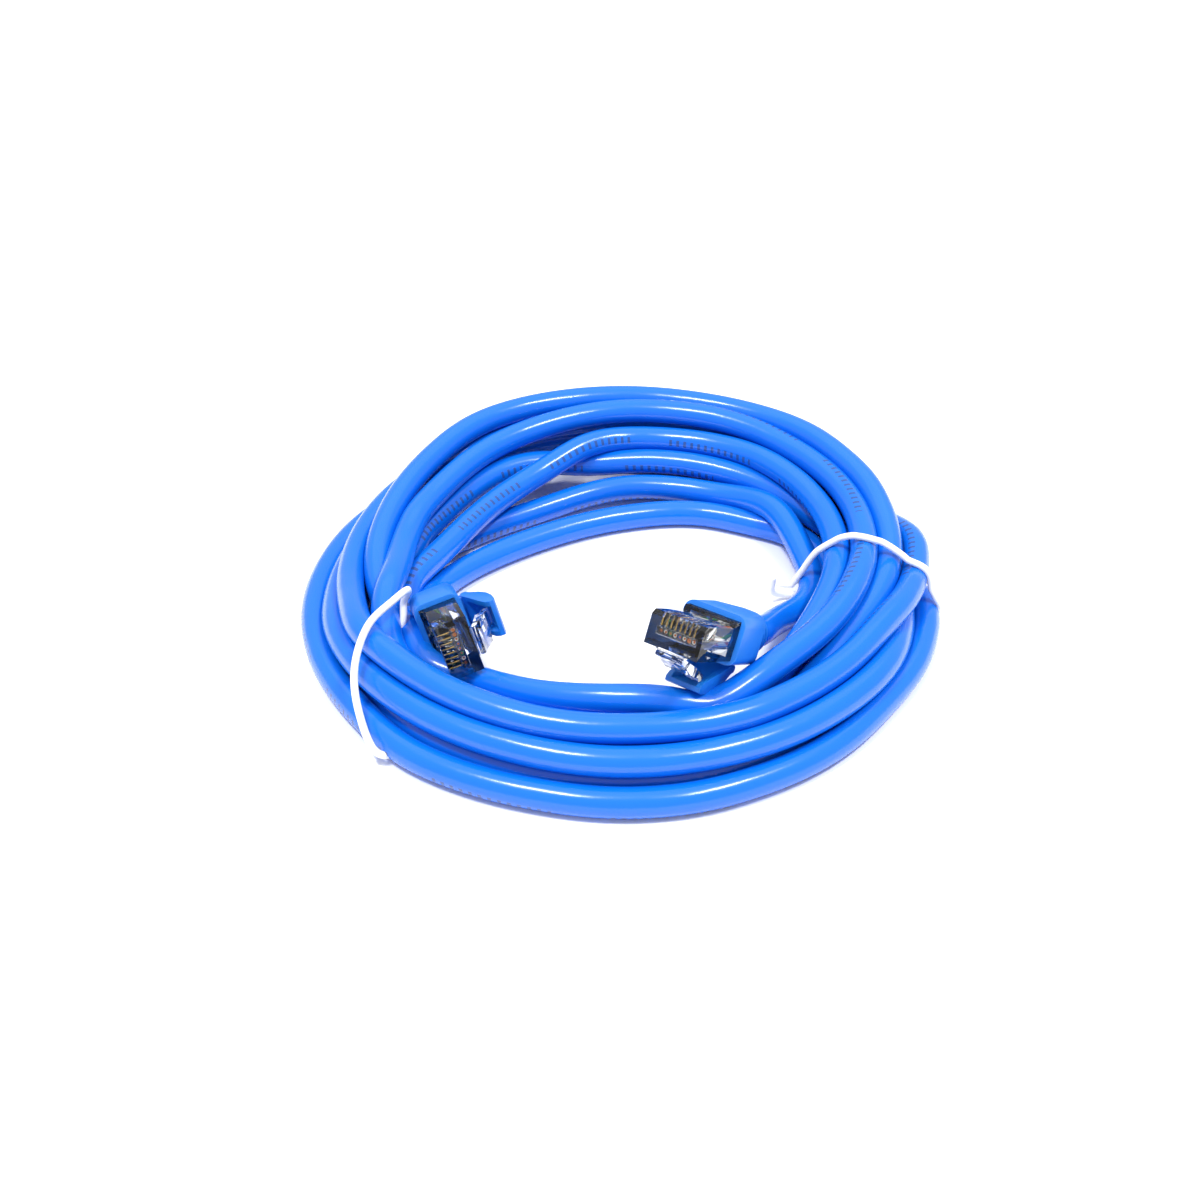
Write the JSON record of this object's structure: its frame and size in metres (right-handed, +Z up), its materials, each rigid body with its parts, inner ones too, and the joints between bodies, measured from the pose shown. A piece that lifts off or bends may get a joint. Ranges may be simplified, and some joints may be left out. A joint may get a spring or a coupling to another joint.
{
  "type": "ethernet patch cable",
  "caption": "Coiled blue ethernet patch cable held by white twist ties, with a clear modular plug and a ribbed, hooded boot at both ends.",
  "frame": {"origin": "centre of the coil's box, on the surface the coil rests on", "axes": "+X right and +Y away as the coil is seen in use on a table, +Z up; the coil lies flat in the XY plane"},
  "size_m": [0.14, 0.14, 0.032],
  "materials": {
    "jacket_pvc": "glossy extruded PVC",
    "boot_pvc": "moulded soft PVC, satin gloss",
    "clear_plastic": "clear moulded polycarbonate",
    "load_bar_plastic": "clear moulded polycarbonate",
    "separator_plastic": "extruded polyethylene",
    "tie_coating": "white plastic coating",
    "tie_wire": "drawn soft steel",
    "contact_plate": "gold plated, polished",
    "copper": "bare drawn copper",
    "wire_white_orange": "extruded polyethylene",
    "wire_orange": "extruded polyethylene",
    "wire_white_green": "extruded polyethylene",
    "wire_blue": "extruded polyethylene",
    "wire_white_blue": "extruded polyethylene",
    "wire_green": "extruded polyethylene",
    "wire_white_brown": "extruded polyethylene",
    "wire_brown": "extruded polyethylene"
  },
  "bodies": {
    "cable": {"cable_coil": "jacket_pvc", "cable_tail_a": "jacket_pvc", "cable_tail_b": "jacket_pvc", "tie_left": "tie_coating", "tie_left_core": "tie_wire", "tie_right": "tie_coating", "tie_right_core": "tie_wire", "housing_a": "clear_plastic", "contacts_a": "contact_plate", "load_bar_a": "load_bar_plastic", "wire_cores_a": "copper", "pair_separator_a": "separator_plastic", "jacket_end_a": "jacket_pvc", "boot_a": "boot_pvc", "wire_white_orange_a": "wire_white_orange", "wire_orange_a": "wire_orange", "wire_white_green_a": "wire_white_green", "wire_blue_a": "wire_blue", "wire_white_blue_a": "wire_white_blue", "wire_green_a": "wire_green", "wire_white_brown_a": "wire_white_brown", "wire_brown_a": "wire_brown", "housing_b": "clear_plastic", "contacts_b": "contact_plate", "load_bar_b": "load_bar_plastic", "wire_cores_b": "copper", "pair_separator_b": "separator_plastic", "jacket_end_b": "jacket_pvc", "boot_b": "boot_pvc", "wire_white_orange_b": "wire_white_orange", "wire_orange_b": "wire_orange", "wire_white_green_b": "wire_white_green", "wire_blue_b": "wire_blue", "wire_white_blue_b": "wire_white_blue", "wire_green_b": "wire_green", "wire_white_brown_b": "wire_white_brown", "wire_brown_b": "wire_brown"},
    "hood_a": {"hood_a": "boot_pvc"},
    "latch_a": {"latch_a": "clear_plastic"},
    "hood_b": {"hood_b": "boot_pvc"},
    "latch_b": {"latch_b": "clear_plastic"}
  },
  "joints": [
    {"name": "hood_a_press", "type": "hinge", "parent": "cable", "child": "hood_a", "pos_m": [-0.03154, -0.01728, 0.01208], "axis": [0.2992, -0.2274, -0.9267], "range_deg": [0, 16], "stiffness_Nm_per_rad": 0.02},
    {"name": "latch_a_press", "type": "hinge", "parent": "cable", "child": "latch_a", "pos_m": [-0.02787, -0.03523, 0.01767], "axis": [-0.2992, 0.2274, 0.9267], "range_deg": [0, 13], "stiffness_Nm_per_rad": 0.03},
    {"name": "hood_b_press", "type": "hinge", "parent": "cable", "child": "hood_b", "pos_m": [0.0186, -0.03865, 0.01447], "axis": [-0.8087, 0.5875, -0.0302], "range_deg": [0, 16], "stiffness_Nm_per_rad": 0.02},
    {"name": "latch_b_press", "type": "hinge", "parent": "cable", "child": "latch_b", "pos_m": [0.00904, -0.05125, 0.02528], "axis": [0.8087, -0.5875, 0.0302], "range_deg": [0, 13], "stiffness_Nm_per_rad": 0.03}
  ],
  "couplings": [
    {"joint": "latch_a_press", "follows": "hood_a_press", "ratio": 0.8},
    {"joint": "latch_b_press", "follows": "hood_b_press", "ratio": 0.8}
  ]
}
